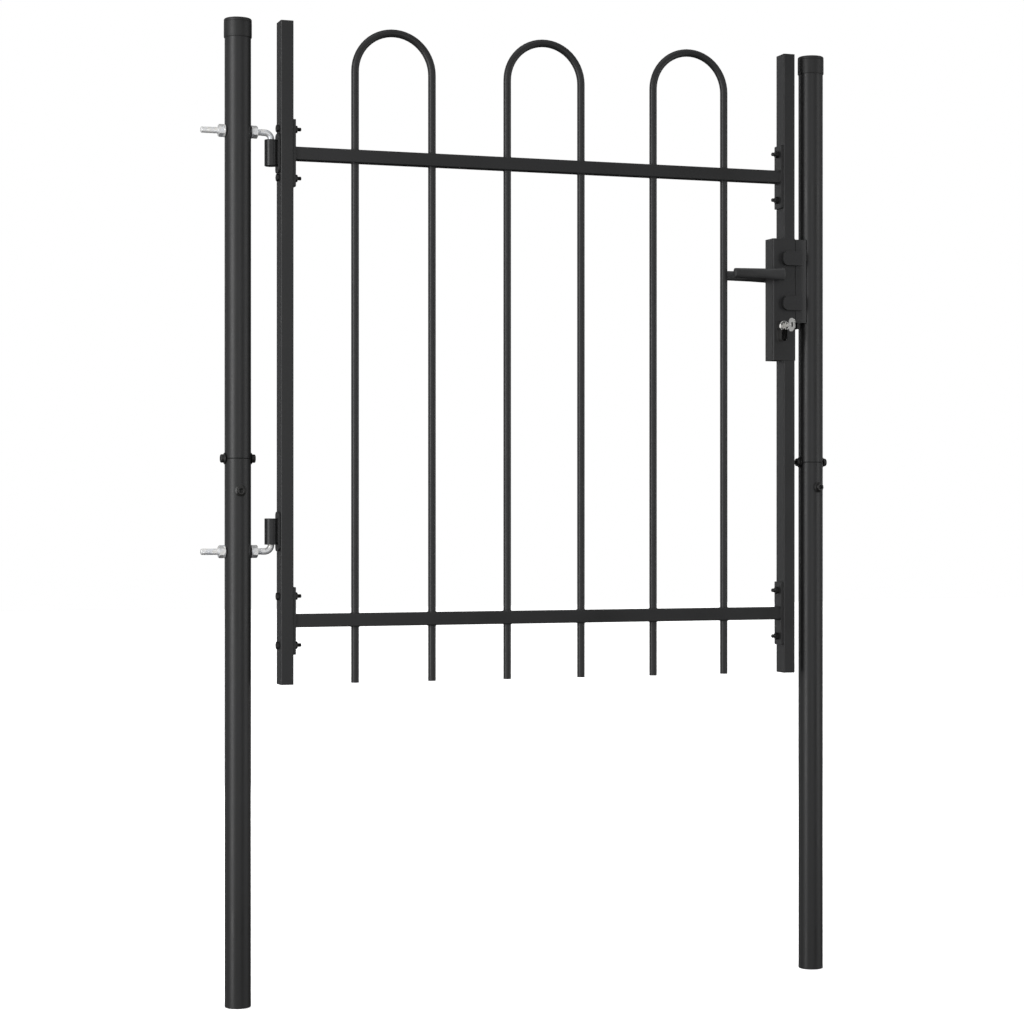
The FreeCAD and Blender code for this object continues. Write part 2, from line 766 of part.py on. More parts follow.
def lock_faceplate():
    plate = box(case_x1, leaf_x1, -case_y, case_y, case_z0, case_z1)
    thick = dim("FaceThick")
    sinks = [cone(2, 4.1, thick + 0.1, case_x1, 0, z) for z in face_screw_heights]

    def slot(height, wide, tall):
        x0, x1 = case_x1 - 1, leaf_x1 + 1
        return box(x0, x1, -wide / 2, wide / 2, height - tall / 2, height + tall / 2)

    nose = slot(dim("LatchZ"), 2 * NOSE_HALF + 0.8, NOSE_TALL + 0.8)
    dead = slot(dim("DeadBoltZ"), 2 * DEAD_HALF + 0.6, DEAD_TALL + 0.6)
    fixing = cone(2.6, 4.35, thick + 0.1, case_x1, 0, key_z - FIXING_DROP)
    keep(cut(plate, nose, dead, fixing, *sinks), "lock_faceplate")

    screw = countersunk("FaceScrew", 2, 4.0, 2.0, 12)
    group("faceplate_screws", screw, [(leaf_x1, 0, z, *OUT_X) for z in face_screw_heights])

    fixing_screw = countersunk("FixingScrew", 2.45, 4.2, 2.0, leaf_x1.value - key_x.value + 4)
    place(fixing_screw, leaf_x1, 0, key_z - FIXING_DROP, *OUT_X)
    keep(fixing_screw, "cylinder_fixing_screw")


def latch_bolt():
    z = dim("LatchZ")
    z0 = z - NOSE_TALL / 2
    z1 = z + NOSE_TALL / 2
    tip = leaf_x1 + dim("LatchThrow")
    block_x0 = case_x1 - 14.5
    nose = new_body("LatchNose")
    sketch = new_sketch(nose, "XY_Plane", z0)
    bevel = [(tip - 9.5, -NOSE_HALF), (tip, NOSE_HALF - 3), (tip, NOSE_HALF)]
    add_outline(sketch, [(block_x0, -NOSE_HALF), *bevel, (block_x0, NOSE_HALF)])
    pad(nose, sketch, NOSE_TALL)

    plate_y0 = NOSE_HALF + 2
    plate_y1 = plate_y0 + 2.5
    hook_x0 = spindle_x + 0.2
    hook_x1 = spindle_x + 3
    hook_z0 = spindle_z + 11
    hook_z1 = hook_z0 + 8
    plate_x1 = case_x1 - 1.5
    tail = box(hook_x0, plate_x1, plate_y0, plate_y1, z0, hook_z1)
    half = JOURNAL_RADIUS + 0.6
    notch_x1 = spindle_x + JOURNAL_RADIUS + LATCH_TRAVEL + 0.4
    notch = box(hook_x0 - 1, notch_x1, plate_y0 - 1, plate_y1 + 1, spindle_z - half, spindle_z + half)
    bridge = box(block_x0, plate_x1, NOSE_HALF, plate_y0, z0, z1)
    hook = box(hook_x0, hook_x1, -2.5, plate_y0, hook_z0, hook_z1)
    keep(fuse(nose, cut(tail, notch), bridge, hook), "latch_bolt")

    spring = new_body("LatchSpringBody")
    profile = new_sketch(spring, "XZ_Plane")
    add_circle(profile, 4, 0, 0.5)
    coil = spring.newObject("PartDesign::AdditiveHelix", "Coil")
    coil.Profile = profile
    coil.ReferenceAxis = (profile, ["V_Axis"])
    coil.Mode = "height-turns-angle"
    length = block_x0 - case_x0 - dim("CaseWall") - 1.4
    bind(coil, Height=length)
    coil.Turns = 8
    place(spring, case_x0 + dim("CaseWall") + 0.7, 0, z, *OUT_X)
    keep(spring, "latch_spring")


def follower():
    """The hub on the spindle. Its arm pushes the latch bolt's hook back when a lever goes down."""
    hub = cylinder(HUB_RADIUS, 18, spindle_x, -11, spindle_z, "y")
    journal = cylinder(JOURNAL_RADIUS, 5.6, spindle_x, 7, spindle_z, "y")
    arm = new_body("FollowerArm")
    sketch = new_sketch(arm, "XZ_Plane")
    add_outline(sketch, rectangle(0, 14, -2.5, 2.5))
    pad(arm, sketch, 4.6, both_ways=True)
    tip = new_sketch(arm, "XZ_Plane")
    add_circle(tip, 14, 0, 2.5)
    pad(arm, tip, 4.6, both_ways=True)
    place(arm, spindle_x, 0, spindle_z, (0, 1, 0), -60)
    half = SQUARE / 2 + THREAD_GAP
    square = box(spindle_x - half, spindle_x + half, -12, 14, spindle_z - half, spindle_z + half)
    keep(cut(fuse(hub, journal, arm), square), "follower")

    half = SQUARE / 2
    reach = dim("LeverOut") - 4
    bar = box(spindle_x - half, spindle_x + half, -reach, reach, spindle_z - half, spindle_z + half)
    keep(bar, "spindle")


def lever(label, side):
    """A lever handle. side is -1 in front of the leaf, 1 behind it."""
    out = dim("LeverOut") * side
    sections = []
    stations = [
        (spindle_x + 4, 10.3, 6.6),
        (spindle_x - 7, 9.3, 6.2),
        (spindle_x - 33, 8.4, 5.8),
        (spindle_x - dim("LeverReach"), 7.6, 5.4),
    ]
    for x, tall, deep in stations:
        ring = doc.addObject("Part::Ellipse", "Section")
        bind(ring, MajorRadius=tall, MinorRadius=deep)
        place(ring, x, out, spindle_z, (0, 1, 0), 90)
        sections.append(ring)
    grip = doc.addObject("Part::Loft", "Grip")
    grip.Sections = sections
    grip.Solid = True
    neck_in = case_y - 2.6
    neck_y0 = neck_in if side > 0 else -dim("LeverOut")
    neck = cylinder(NECK_RADIUS, dim("LeverOut") - neck_in, spindle_x, neck_y0, spindle_z, "y")
    half = SQUARE / 2 + THREAD_GAP
    deep = dim("LeverOut") - 3.9
    y0 = size(0) if side > 0 else -deep
    square = box(spindle_x - half, spindle_x + half, y0, y0 + deep, spindle_z - half, spindle_z + half)
    screw_y = (case_y + SET_SCREW_OUT) * side
    tap = cylinder(2.55, 12, spindle_x, screw_y, spindle_z - 12, "z")
    keep(cut(fuse(grip, neck), square, tap), label)


def handles():
    lever("front_lever", -1)
    lever("rear_lever", 1)
    screw = cylinder(2.5, 2.8, 0, 0, 0)
    seat = spindle_z - SQUARE / 2 - 2.9
    screws = [(spindle_x, (case_y + SET_SCREW_OUT) * side, seat, *OUT_Z) for side in (-1, 1)]
    group("lever_set_screws", screw, screws)
    bush = washer("Bush", BUSH_RADIUS, NECK_RADIUS + 0.06, 2.4)
    bush_y = case_y - 2.4
    bushes = [(spindle_x, -bush_y, spindle_z, *OUT_MINUS_Y), (spindle_x, bush_y, spindle_z, *OUT_Y)]
    group("lever_bushes", bush, bushes)


def dead_bolt():
    z = dim("DeadBoltZ")
    half = DEAD_TALL / 2
    block = box(case_x0 + 4, leaf_x1 - 0.3, -DEAD_HALF, DEAD_HALF, z - half, z + half)
    relief = box(case_x0 + 12, key_x + 4, -DEAD_HALF - 1, DEAD_HALF + 1, z - half - 1, z - half + 3)
    keep(cut(block, relief), "dead_bolt")


def cylinder_lock():
    half = dim("CylinderHalf")
    bore_r = PLUG_RADIUS + 0.06
    body = euro_profile(0, -half, half)
    bore = cylinder(bore_r, half * 2 + 2, key_x, -half - 1, key_z, "y")
    gap_y = CAM_HALF + 0.2
    gap_z0 = key_z - CAM_REACH - 0.8
    gap = box(key_x - 10, key_x + 10, -gap_y, gap_y, gap_z0, key_z + 10)
    fixing = cylinder(2.5, 12, key_x - 6, 0, key_z - FIXING_DROP, "x")
    keep(cut(body, bore, gap, fixing), "cylinder_body")

    length = half - CAM_HALF - 0.3
    keyway = half - CAM_HALF - 1.3
    for label, y0, keyway_y0 in (
        ("front_plug", -half, -half - 1),
        ("rear_plug", half - length, half - keyway + 1),
    ):
        plug = cylinder(PLUG_RADIUS, length, key_x, y0, key_z, "y")
        slot = box(key_x - 1.25, key_x + 1.25, keyway_y0, keyway_y0 + keyway, key_z - 4.4, key_z + 4.4)
        keep(cut(plug, slot), label)

    ring = cylinder(8.0, CAM_HALF * 2, key_x, -CAM_HALF, key_z, "y")
    finger = box(key_x - 3.5, key_x + 3.5, -CAM_HALF, CAM_HALF, key_z - 12.5, key_z)
    keep(fuse(ring, finger), "cam")


def key():
    """A flat key in the YZ plane: bow, shoulder and a blade with cuts along its lower edge."""
    body = new_body("KeyBody")
    y_face = -dim("CylinderHalf")
    sketch = new_sketch(body, "YZ_Plane", key_x)
    tip = y_face + 19
    neck = y_face - 18
    z = key_z
    blade_cuts = [(3, 1.4), (5, 3.6), (7.5, 1.8), (10, 3.4), (12, 1.2), (14.5, 3.8)]
    lower = [(tip - back, z - drop) for back, drop in blade_cuts]
    stop = y_face - 3
    waist = stop - 2.5
    shoulder = [(stop, 4), (stop, 5.5), (waist, 5.5), (waist, 2.4), (neck, 2.4)]
    lower += [(y, z - drop) for y, drop in shoulder]
    upper = [(y, z + rise) for y, rise in reversed(shoulder)]
    add_outline(sketch, [(tip, z), *lower, *upper, (tip - 3, z + 4)])
    pad(body, sketch, 2, both_ways=True)
    doc.recompute()
    bow = new_sketch(body, "YZ_Plane", key_x)
    middle = neck - 9
    below = [(-12, -4.5), (-10.5, -7.8), (-7.5, -10.2), (-3.5, -11)]
    below += [(1.5, -11), (6, -10.2), (9, -7.8), (10.5, -4.8)]
    above = [(u, -v) for u, v in reversed(below)]
    add_outline(bow, [(middle + u, z + v) for u, v in below + above])
    pad(body, bow, 2, both_ways=True)
    doc.recompute()
    hole = new_sketch(body, "YZ_Plane", key_x)
    add_circle(hole, middle - 3, z, 4)
    through(body, hole)
    keep(body, "key")


# ---------------------------------------------------------------------- strike


def strike():
    """A folded channel on the latch post: lugs on its front stop the leaf, its web takes the bolts."""
    web_x0 = leaf_x1 + 4.5
    web_x1 = web_x0 + 3
    flange_y0 = case_y + 0.5
    flange_y1 = flange_y0 - 3
    flange_z0 = strike_z0 + 10
    seat_x = post_x - 15.5
    seat_y = 12
    body = new_body("StrikeBody")
    sketch = new_sketch(body, "XY_Plane", flange_z0)
    add_outline(
        sketch,
        [
            (leaf_x1 + FACE_GAP, -flange_y1),
            (leaf_x1 + FACE_GAP, -flange_y0),
            (seat_x - 7, -flange_y0),
            (seat_x, -flange_y0 + 1.3),
            (seat_x, -seat_y),
            (seat_x - 5, -flange_y1),
            (web_x1, -flange_y1),
            (web_x1, flange_y1),
            (seat_x - 5, flange_y1),
            (seat_x, seat_y),
            (seat_x, flange_y0 - 1.3),
            (seat_x - 7, flange_y0),
            (web_x0, flange_y0),
            (web_x0, -flange_y1),
        ],
    )
    pad(body, sketch, strike_z1 - flange_z0)
    tongue = box(web_x0, web_x1, -flange_y1, flange_y1, strike_z0, flange_z0 + 1)
    lug_parts = []
    lug_x0 = leaf_x1 - 24.1
    lug_x1 = leaf_x1 + 9
    lug_half = 11.6
    for height in (dim("UpperLug"), dim("LowerLug")):
        lug = new_body("Lug")
        face = new_sketch(lug, "XZ_Plane", case_y + 0.5)
        add_outline(face, rectangle(lug_x0, lug_x1, height - lug_half, height + lug_half))
        pad(lug, face, 6)
        left = lug_x0.value
        through_leaf = along((0, 1, 0))
        soften(lug, 9, lambda edge: through_leaf(edge) and edge.CenterOfMass.x < left + 1)
        lug_parts.append(lug)
    latch = dim("LatchZ")
    dead = dim("DeadBoltZ")
    slot_x0, slot_x1 = web_x0 - 1.5, web_x1 + 4.5
    latch_slot = box(slot_x0, slot_x1, -NOSE_HALF - 1, flange_y0 + 1, latch - 8.5, latch + 8.5)
    dead_slot = box(slot_x0, slot_x1, -DEAD_HALF - 0.6, DEAD_HALF + 0.6, dead - 9.8, dead + 9.8)
    sinks = [cone(4.7, 2.6, 3.1, web_x0 - 0.05, 0, z) for z in strike_screw_heights]
    seat = cylinder(post_r + 0.05, dim("StrikeTall") + 2, post_x, 0, strike_z0 - 1)
    keep(cut(fuse(body, tongue, *lug_parts), latch_slot, dead_slot, seat, *sinks), "strike")

    screw = countersunk("StrikeScrew", 2.45, 4.6, 2.8, 20)
    group("strike_screws", screw, [(web_x0, 0, z, *OUT_MINUS_X) for z in strike_screw_heights])


posts()
hinges()
stiles()
rails()
hoops()
lock_case()
lock_faceplate()
latch_bolt()
follower()
handles()
dead_bolt()
cylinder_lock()
key()
strike()
doc.recompute()

# ---------------------------------------------------------------------- checks and files

failed = [thing for thing in doc.Objects if "Invalid" in thing.State or "Error" in thing.State]
if failed:
    raise RuntimeError("\n".join(f"{t.Name} in {[u.Name for u in t.InList]}: {t.State}" for t in failed))

os.makedirs("parts", exist_ok=True)
for part in subparts:
    shape = part.Shape
    if shape.isNull() or not shape.isValid():
        raise RuntimeError(f"{part.Label} has no valid shape")
    shape.exportStep(os.path.join("parts", f"{part.Label}.step"))
    print(f"{part.Label:26s} solids {len(shape.Solids)}  volume {shape.Volume:10.1f} mm3")
print(len(subparts), "sub-parts")
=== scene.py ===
import json
import math

import bmesh
import bpy
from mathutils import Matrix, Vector, noise


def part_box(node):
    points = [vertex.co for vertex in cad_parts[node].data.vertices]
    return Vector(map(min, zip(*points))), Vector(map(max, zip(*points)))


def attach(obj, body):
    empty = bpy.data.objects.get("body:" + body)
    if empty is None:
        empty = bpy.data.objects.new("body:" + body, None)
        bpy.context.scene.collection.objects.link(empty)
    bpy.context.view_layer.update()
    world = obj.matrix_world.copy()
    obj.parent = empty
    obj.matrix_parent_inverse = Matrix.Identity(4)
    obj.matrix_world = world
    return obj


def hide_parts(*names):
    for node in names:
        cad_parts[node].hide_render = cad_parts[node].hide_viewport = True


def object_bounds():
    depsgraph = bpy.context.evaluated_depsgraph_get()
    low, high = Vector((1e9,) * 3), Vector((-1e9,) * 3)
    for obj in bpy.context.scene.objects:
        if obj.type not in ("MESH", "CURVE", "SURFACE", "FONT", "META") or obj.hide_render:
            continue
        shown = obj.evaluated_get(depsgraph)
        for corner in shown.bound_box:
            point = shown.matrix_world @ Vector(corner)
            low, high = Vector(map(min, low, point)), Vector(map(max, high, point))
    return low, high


# The garden gate's looks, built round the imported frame. Metres, +Z up, -Y is the side with the key.

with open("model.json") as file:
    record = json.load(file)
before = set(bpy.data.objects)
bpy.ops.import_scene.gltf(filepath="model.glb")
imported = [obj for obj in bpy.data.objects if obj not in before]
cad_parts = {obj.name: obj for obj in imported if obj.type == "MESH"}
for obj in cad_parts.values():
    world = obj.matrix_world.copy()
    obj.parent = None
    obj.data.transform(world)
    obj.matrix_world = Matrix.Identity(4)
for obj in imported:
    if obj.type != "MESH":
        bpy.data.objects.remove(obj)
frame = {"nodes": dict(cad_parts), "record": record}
cad_low, cad_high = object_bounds()
MM = 0.001
TAU = 2 * math.pi
scene = bpy.context.scene
slot_of = {entry["node"]: entry["material_slot"] for entry in frame["record"]["subparts"]}
body_of = {
    node: body for body, nodes in frame["record"]["behaviour"]["bodies"].items() for node in nodes
}


# ---------------------------------------------------------------------- materials


def set_stops(ramp, stops):
    """Gives a ramp node its stops, each a position and a colour."""
    elements = ramp.color_ramp.elements
    while len(elements) < len(stops):
        elements.new(0.5)
    for element, (position, colour) in zip(elements, stops):
        element.position = position
        element.color = (*colour, 1.0)


class Surface:
    """A Principled material with short ways to add the nodes that vary it over the surface."""

    def __init__(self, name, metallic=0.0, **sockets):
        self.made = bpy.data.materials.new(name)
        self.made.use_nodes = True
        self.tree = self.made.node_tree
        self.shader = self.tree.nodes["Principled BSDF"]
        self.shader.inputs["Metallic"].default_value = metallic
        for socket, value in sockets.items():
            self.shader.inputs[socket.replace("_", " ")].default_value = value
        self.place = self.tree.nodes.new("ShaderNodeTexCoord").outputs["Object"]
        self.normal = None

    def link(self, output, node, socket):
        self.tree.links.new(output, node.inputs[socket])

    def noise(self, size, detail=2.0, stretch=(1, 1, 1), rough=0.5):
        """Noise whose features are about size metres across, longer along the stretched axes."""
        mapping = self.tree.nodes.new("ShaderNodeMapping")
        mapping.inputs["Scale"].default_value = [1 / (size * s) for s in stretch]
        self.link(self.place, mapping, "Vector")
        made = self.tree.nodes.new("ShaderNodeTexNoise")
        made.inputs["Scale"].default_value = 1.0
        made.inputs["Detail"].default_value = detail
        made.inputs["Roughness"].default_value = rough
        self.link(mapping.outputs["Vector"], made, "Vector")
        return made.outputs["Fac"]

    def cells(self, size):
        made = self.tree.nodes.new("ShaderNodeTexVoronoi")
        made.inputs["Scale"].default_value = 1 / size
        self.link(self.place, made, "Vector")
        return made

    def ramp(self, value, stops):
        made = self.tree.nodes.new("ShaderNodeValToRGB")
        set_stops(made, stops)
        self.link(value, made, "Fac")
        return made.outputs["Color"]

    def colour(self, value, stops):
        self.link(self.ramp(value, stops), self.shader, "Base Color")

    def roughness(self, value, low, high):
        made = self.tree.nodes.new("ShaderNodeMapRange")
        made.inputs["From Min"].default_value = 0.3
        made.inputs["From Max"].default_value = 0.7
        made.inputs["To Min"].default_value = low
        made.inputs["To Max"].default_value = high
        self.link(value, made, "Value")
        self.link(made.outputs["Result"], self.shader, "Roughness")

    def bump(self, value, height, strength=1.0):
        """Adds relief of that height, in metres, over what is there already."""
        made = self.tree.nodes.new("ShaderNodeBump")
        made.inputs["Strength"].default_value = strength
        made.inputs["Distance"].default_value = height
        self.link(value, made, "Height")
        if self.normal is not None:
            self.link(self.normal, made, "Normal")
        self.normal = made.outputs["Normal"]
        self.link(self.normal, self.shader, "Normal")

    def add(self, one, other, share):
        """one plus a share of other."""
        made = self.tree.nodes.new("ShaderNodeMath")
        made.operation = "MULTIPLY_ADD"
        made.inputs[1].default_value = share
        self.link(other, made, 0)
        self.link(one, made, 2)
        return made.outputs["Value"]


def grey(level, blue=0.0):
    return (level, level, level * (1 + blue))


def powder_coat():
    """Satin black powder coat: orange peel, faint cloudiness and a few nibs of dust in the film."""
    made = Surface("powder_coat", IOR=1.5)
    cloud = made.noise(90 * MM, 4)
    peel = made.noise(2.4 * MM, 1)
    nibs = made.noise(1.1 * MM, 0)
    made.colour(cloud, [(0.3, grey(0.0163)), (0.7, grey(0.0203, 0.04))])
    made.roughness(made.add(cloud, peel, 0.35), 0.3, 0.42)
    made.bump(peel, 0.02 * MM, 0.5)
    made.bump(made.ramp(nibs, [(0.74, (0, 0, 0)), (0.8, (1, 1, 1))]), 0.02 * MM, 0.5)
    return made.made


def moulded_black(name, level):
    """Black moulded plastic with a fine spark-eroded grain and slightly polished patches."""
    made = Surface(name, IOR=1.49)
    grain = made.noise(0.5 * MM, 2)
    patch = made.noise(14 * MM, 3)
    made.colour(patch, [(0.3, grey(level * 0.85)), (0.7, grey(level * 1.2))])
    made.roughness(patch, 0.42, 0.56)
    made.bump(grain, 0.03 * MM, 0.5)
    return made.made


def black_steel():
    """Blackened steel fasteners: brown-black, oily, with tool marks."""
    made = Surface("black_fastener", metallic=0.35, IOR=1.6)
    stain = made.noise(5 * MM, 4)
    marks = made.noise(0.35 * MM, 1, (1, 1, 9))
    made.colour(stain, [(0.3, (0.012, 0.012, 0.012)), (0.72, (0.03, 0.029, 0.028))])
    made.roughness(stain, 0.3, 0.46)
    made.bump(marks, 0.02 * MM, 0.5)
    return made.made


def lever_coat():
    """Thin satin black coat on a die-cast lever, a little glossier where hands rub it."""
    made = Surface("lever_coat", IOR=1.5)
    rubbed = made.noise(28 * MM, 3, (2, 1, 1))
    grain = made.noise(0.7 * MM, 1)
    made.colour(rubbed, [(0.3, grey(0.034)), (0.7, grey(0.045, 0.03))])
    made.roughness(rubbed, 0.3, 0.44)
    made.bump(grain, 0.02 * MM, 0.5)
    return made.made


def zinc_plate():
    """Bright zinc: patches of blue and straw passivation over rolled and turned marks."""
    made = Surface("zinc", metallic=0.55)
    tint = made.noise(9 * MM, 3)
    marks = made.noise(0.5 * MM, 2, (1, 1, 5))
    made.colour(tint, [(0.3, (0.84, 0.86, 0.9)), (0.5, (0.91, 0.91, 0.91)), (0.72, (0.9, 0.88, 0.83))])
    made.roughness(made.add(tint, marks, 0.4), 0.2, 0.38)
    made.bump(marks, 0.015 * MM, 0.5)
    return made.made


def nickel_plate(name, level, low, high):
    """Satin nickel on brass, brushed one way, with small handling marks."""
    made = Surface(name, metallic=1.0)
    brushed = made.noise(0.25 * MM, 2, (1, 14, 1))
    smear = made.noise(6 * MM, 3)
    warm = (level, level * 0.985, level * 0.95)
    made.colour(smear, [(0.3, tuple(c * 0.9 for c in warm)), (0.7, warm)])
    made.roughness(made.add(smear, brushed, 0.5), low, high)
    made.bump(brushed, 0.004 * MM, 0.25)
    return made.made


def machined_steel(name, level, along):
    """Bare steel with milling lines across it and the odd darker oil stain."""
    made = Surface(name, metallic=1.0)
    stain = made.noise(7 * MM, 4)
    lines = made.noise(0.3 * MM, 1, along)
    made.colour(stain, [(0.28, grey(level * 0.72)), (0.6, grey(level)), (0.8, grey(level * 1.06, 0.02))])
    made.roughness(made.add(stain, lines, 0.4), 0.26, 0.44)
    made.bump(lines, 0.015 * MM, 0.6)
    return made.made


def galvanised():
    """Hot-dipped zinc on the tube of the sleeve, with its spangle."""
    made = Surface("bare_tube", metallic=1.0)
    spangle = made.cells(6 * MM)
    fine = made.noise(1.5 * MM, 3)
    made.colour(spangle.outputs["Color"], [(0.2, grey(0.36)), (0.8, grey(0.5, 0.03))])
    made.roughness(fine, 0.38, 0.55)
    made.bump(spangle.outputs["Distance"], 0.02 * MM, 0.4)
    return made.made


materials = {
    "powder_coat": powder_coat(),
    "cap_plastic": moulded_black("cap_plastic", 0.017),
    "bush_plastic": moulded_black("bush_plastic", 0.02),
    "black_fastener": black_steel(),
    "lever_coat": lever_coat(),
    "zinc": zinc_plate(),
    "bare_tube": galvanised(),
    "bare_steel": machined_steel("bare_steel", 0.6, (1, 12, 1)),
    "spring_steel": machined_steel("spring_steel", 0.5, (1, 1, 1)),
    "nickel": nickel_plate("nickel", 0.86, 0.03, 0.09),
    "key_nickel": nickel_plate("key_nickel", 0.58, 0.1, 0.22),
}
for node, piece in frame["nodes"].items():
    for index in range(len(piece.data.materials)):
        piece.data.materials[index] = materials[slot_of[node]]


# ---------------------------------------------------------------------- meshes


COLUMNS = 72
COLUMN_ANGLES = [TAU * i / COLUMNS for i in range(COLUMNS)]
RINGS_PER_PITCH = 6
THREAD_FLAT = 0.125
CHAMFER_SLOPE = math.tan(math.radians(30))
MERGE_DISTANCE = 0.002 * MM

# Angles in degrees: between faces that count as one flat, edges that get rounded, and
# the sharpest fold that is shaded smooth on each kind of piece.
FLAT_ANGLE = 0.6
SHARP_ANGLE = 35
CAP_CREASE = 32
NUT_CREASE = 25
BOLT_CREASE = 45
ROUNDED_CREASE = 50
WELD_CREASE = 80


def circle(radius, height):
    """A ring: a (radius, height) for each column."""
    return [(radius, height)] * COLUMNS


def hexagon(across, height, bevel=0.0):
    """A ring round a hexagon. It drops by bevel for each unit that it stands out past the flats."""
    ring = []
    for angle in COLUMN_ANGLES:
        off = (angle + math.pi / 6) % (math.pi / 3) - math.pi / 6
        radius = across / 2 / math.cos(off)
        ring.append((radius, height - (radius - across / 2) * bevel))
    return ring


def thread(radius, height, pitch, depth):
    """A ring at one height of a vee thread."""
    ring = []
    for angle in COLUMN_ANGLES:
        turn = (height / pitch - angle / TAU) % 1
        slope = (1 + 2 * THREAD_FLAT) * abs(2 * turn - 1)
        valley = min(1, max(0, slope - THREAD_FLAT))
        ring.append((radius - depth * valley, height))
    return ring


def threads(radius, pitch, depth, start, end):
    """The rings of a vee thread from start to end."""
    step = pitch / RINGS_PER_PITCH
    count = int(abs(end - start) / step)
    way = 1 if end > start else -1
    return [thread(radius, start + way * step * i, pitch, depth) for i in range(count + 1)]


def turned(corners):
    """Rings through (radius, height) corners in millimetres."""
    return [circle(radius * MM, height * MM) for radius, height in corners]


def stack(rings, loop=False):
    """A closed skin through rings of (radius, height) about Z. loop joins the last to the first."""
    verts = []
    for ring in rings:
        for angle, (radius, height) in zip(COLUMN_ANGLES, ring):
            verts.append(Vector((radius * math.cos(angle), radius * math.sin(angle), height)))
    return verts, skin(len(rings), COLUMNS, loop)


def skin(rows, columns, loop=False):
    """Faces over a grid whose rows are rings. Its two ends are closed unless it is a loop."""
    faces = []
    for row in range(rows if loop else rows - 1):
        low, high = row * columns, (row + 1) % rows * columns
        for i in range(columns):
            j = (i + 1) % columns
            faces.append((low + i, low + j, high + j, high + i))
    if not loop:
        faces.append(tuple(reversed(range(columns))))
        faces.append(tuple(range((rows - 1) * columns, rows * columns)))
    return faces


def aimed(shape, at, axis=(0, 0, 1)):
    """A shape made about Z, turned to run along axis and moved to at."""
    verts, faces = shape
    turn = Vector(axis).normalized().to_track_quat("Z", "Y")
    return [turn @ vert + Vector(at) for vert in verts], faces


def joined(shapes):
    """One shape of several."""
    verts, faces = [], []
    for some_verts, some_faces in shapes:
        start = len(verts)
        verts.extend(some_verts)
        faces.extend(tuple(start + i for i in face) for face in some_faces)
    return verts, faces


def finished(data, body, slot, replaced, crease):
    """Puts a mesh in the scene: it rides on a body, and is smooth except at edges over crease."""
    data.materials.clear()
    data.materials.append(materials[slot])
    data.shade_smooth()
    data.set_sharp_from_angle(angle=math.radians(crease))
    made = bpy.data.objects.new(data.name, data)
    scene.collection.objects.link(made)
    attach(made, body)
    if replaced:
        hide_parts(*replaced)
    return made


def piece(name, shape, body, slot, replaced=(), crease=SHARP_ANGLE):
    """A new piece of a shape, its faces turned outwards."""
    verts, faces = shape
    data = bpy.data.meshes.new(name)
    data.from_pydata([tuple(vert) for vert in verts], [], faces)
    mesh = bmesh.new()
    mesh.from_mesh(data)
    bmesh.ops.recalc_face_normals(mesh, faces=mesh.faces)
    mesh.to_mesh(data)
    mesh.free()
    return finished(data, body, slot, replaced, crease)


def remade(node, shape, crease=SHARP_ANGLE):
    """A piece that stands for a node, with the node's own body and slot."""
    return piece(f"{node}_finished", shape, body_of[node], slot_of[node], [node], crease)


def softened(node, width, chosen=None):
    """A node's own shape with its sharp edges rounded by width, as coating and tumbling leave them.

    With chosen, only the sharp edges that it picks are rounded.
    """
    mesh = bmesh.new()
    mesh.from_mesh(frame["nodes"][node].data)
    bmesh.ops.remove_doubles(mesh, verts=mesh.verts, dist=MERGE_DISTANCE)
    flat = math.radians(FLAT_ANGLE)
    bmesh.ops.dissolve_limit(mesh, angle_limit=flat, verts=mesh.verts, edges=mesh.edges)
    sharp = [
        edge
        for edge in mesh.edges
        if len(edge.link_faces) == 2 and edge.calc_face_angle() > math.radians(SHARP_ANGLE)
    ]
    if chosen:
        sharp = [edge for edge in sharp if chosen(edge)]
    bmesh.ops.bevel(
        mesh,
        geom=sharp,
        offset=width * MM,
        offset_type="OFFSET",
        segments=2,
        profile=0.5,
        affect="EDGES",
        clamp_overlap=True,
    )
    bmesh.ops.recalc_face_normals(mesh, faces=mesh.faces)
    data = bpy.data.meshes.new(f"{node}_finished")
    mesh.to_mesh(data)
    mesh.free()
    made = finished(data, body_of[node], slot_of[node], [node], ROUNDED_CREASE)
    weighted = made.modifiers.new("Normals", "WEIGHTED_NORMAL")
    weighted.keep_sharp = True
    return made


# ---------------------------------------------------------------------- places read from the frame


def centre(node):
    """The middle of a node's box."""
    low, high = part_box(node)
    return (low + high) / 2


# Sizes that the boxes don't give.
ROD_RADIUS = 5 * MM
BAR_RADIUS = 6 * MM
FLANGE_RADIUS = 8.75 * MM
WASHER_THICK = 2 * MM
RAIL_BOLT_OFFSET = 37.5 * MM
LATCH_BOLT_TURN = 12

lower_low, lower_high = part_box("hinge_post_lower")
POST_RADIUS = (lower_high.x - lower_low.x) / 2
SEAM = lower_high.z
POST_XS = {prefix: centre(f"{prefix}_lower").x for prefix in ("hinge_post", "latch_post")}
ROD_HEIGHTS = {"upper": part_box("upper_hinge_bolt")[1].z, "lower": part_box("lower_hinge_bolt")[0].z}
ROD_HEIGHTS["upper"] -= ROD_RADIUS
ROD_HEIGHTS["lower"] += ROD_RADIUS
HINGE_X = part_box("upper_hinge_bolt")[1].x - ROD_RADIUS
TOP_RAIL = centre("top_rail")
BOTTOM_RAIL = centre("bottom_rail")
RAIL_HEIGHTS = (TOP_RAIL.z, BOTTOM_RAIL.z)
RAIL_HALF = TOP_RAIL.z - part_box("top_rail")[0].z
RAIL_ENDS = (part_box("top_rail")[0].x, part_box("top_rail")[1].x)
BAR_XS = []
